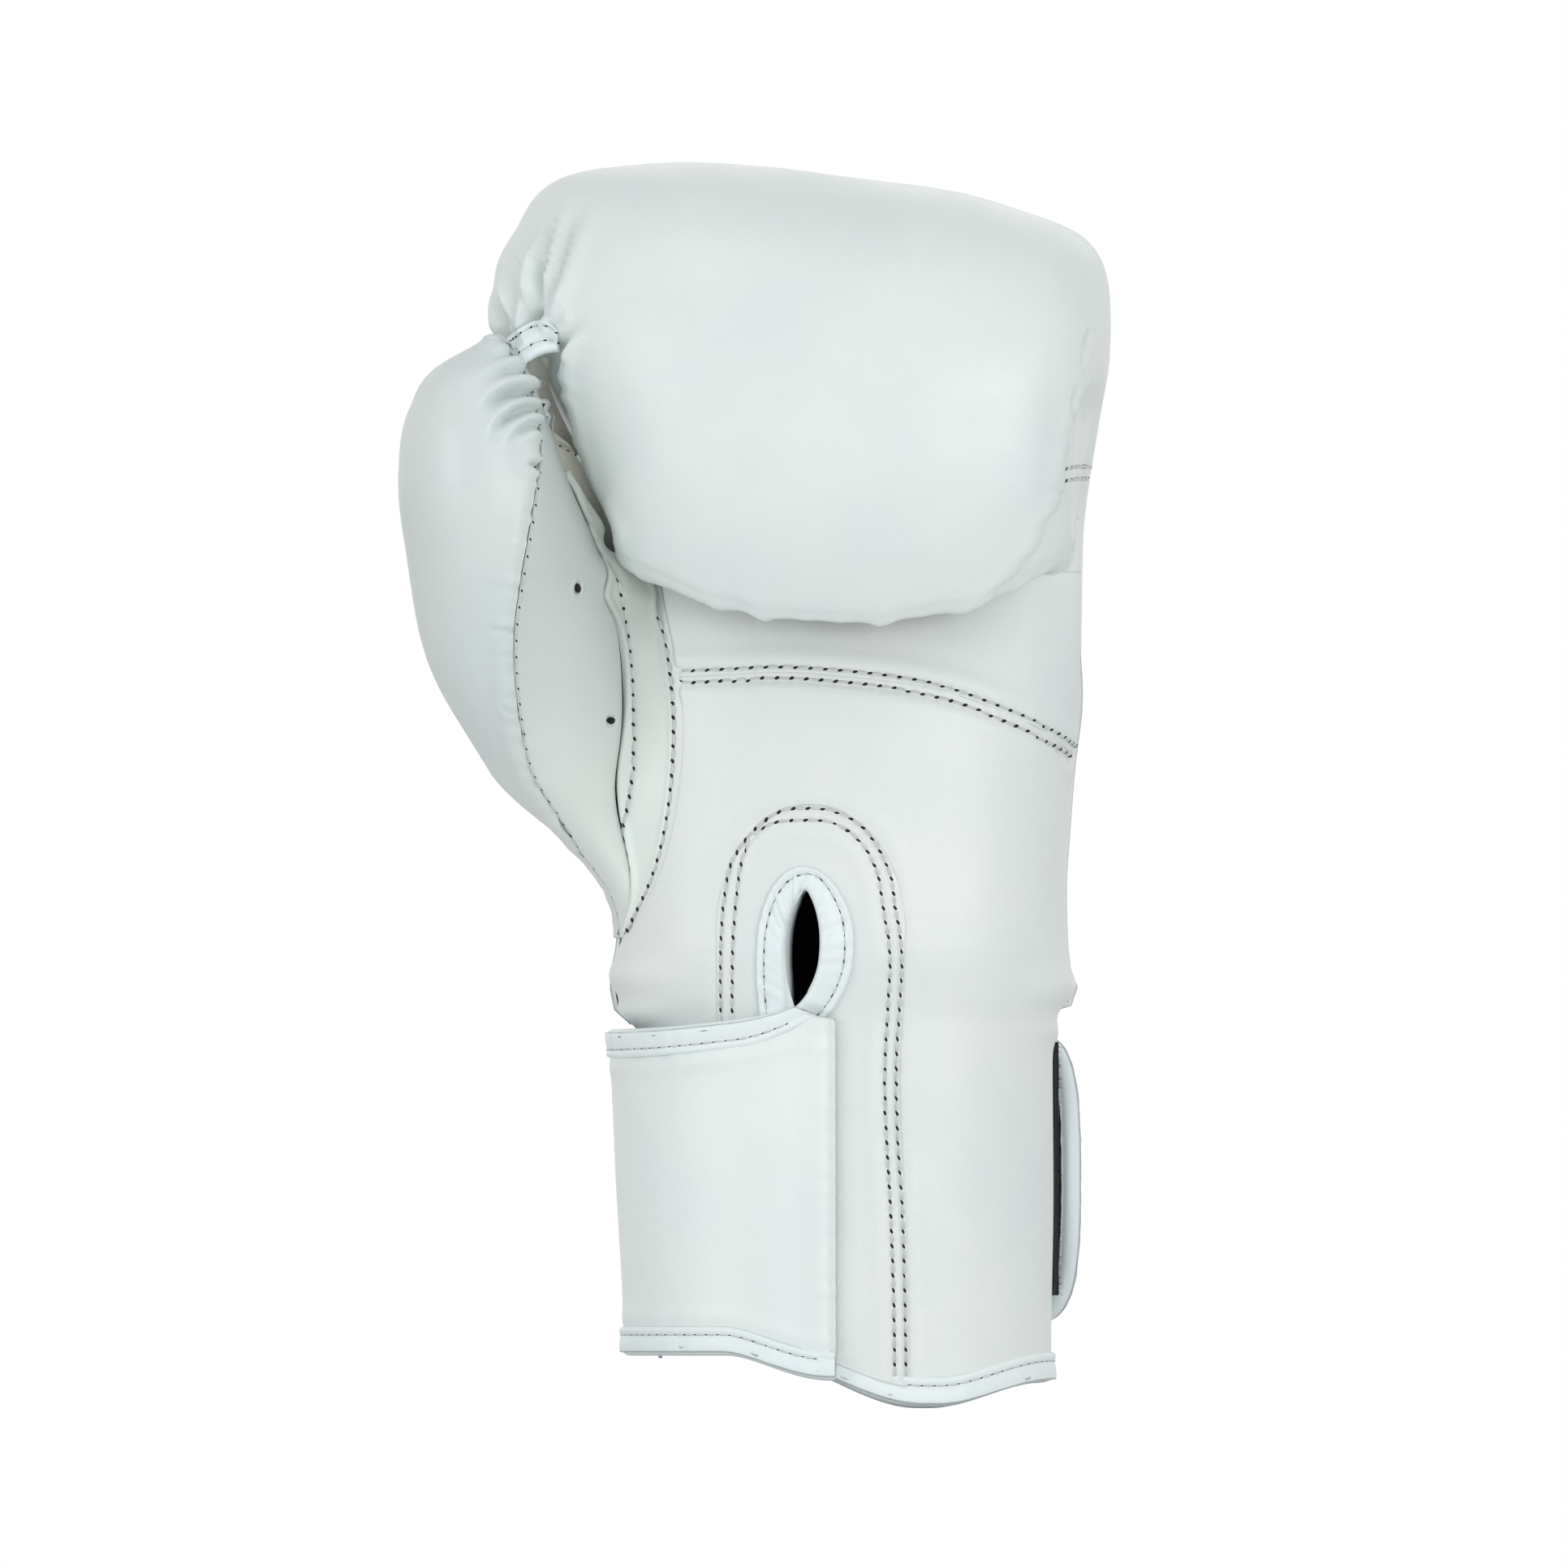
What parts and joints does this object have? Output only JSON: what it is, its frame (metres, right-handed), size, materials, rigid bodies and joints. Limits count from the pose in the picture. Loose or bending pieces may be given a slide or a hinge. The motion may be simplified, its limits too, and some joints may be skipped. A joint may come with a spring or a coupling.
{
  "type": "boxing glove",
  "caption": "Left-hand white leather boxing glove with layered knuckle padding, sewn thumb, palm entry slit and a hook-and-loop wrist strap.",
  "frame": {"origin": "middle of the hand opening, level with the lowest point of the cuff", "axes": "+Z from the cuff to the knuckles, +X to the little-finger side, +Y to the back of the hand, so the palm faces -Y"},
  "size_m": [0.1709, 0.1218, 0.2993],
  "materials": {
    "white_leather": "satin",
    "grey_leather": "matte",
    "binding": "satin",
    "lining": "matte",
    "foam": "matte",
    "tape": "matte"
  },
  "bodies": {
    "glove": {"knuckle_cover": "white_leather", "outer_foam": "foam", "middle_foam": "foam", "inner_foam": "foam", "finger_lining": "lining", "palm_upper_panel": "white_leather", "palm_lower_panel": "white_leather", "palm_foam": "foam", "palm_lining": "lining", "grip_bar": "foam", "slit_facing": "white_leather", "slit_binding": "binding", "cuff_back_panel": "white_leather", "cuff_foam": "foam", "cuff_lining": "lining", "cuff_binding": "binding", "loop_tape": "tape", "thumb_cover": "white_leather", "thumb_inner_panel": "grey_leather", "thumb_gusset": "white_leather", "thumb_foam": "foam", "thumb_lining": "lining", "thumb_web": "white_leather", "thumb_lock": "white_leather"},
    "strap": {"strap_panel": "white_leather", "strap_lining": "lining", "strap_upper_binding": "binding", "strap_lower_binding": "binding"},
    "strap_end": {"strap_end_panel": "white_leather", "strap_end_lining": "lining", "strap_end_binding": "binding", "hook_tape": "tape"}
  },
  "joints": [
    {"name": "strap_swing", "type": "hinge", "parent": "glove", "child": "strap", "pos_m": [-0.00164, -0.03989, 0.0518], "axis": [0, 0, 1], "range_deg": [0, 70]},
    {"name": "strap_peel", "type": "hinge", "parent": "strap", "child": "strap_end", "pos_m": [-0.03645, 0.03813, 0.0518], "axis": [0, 0, 1], "range_deg": [0, 140]}
  ],
  "couplings": [
    {"joint": "strap_swing", "follows": "strap_peel", "ratio": 0.5}
  ]
}
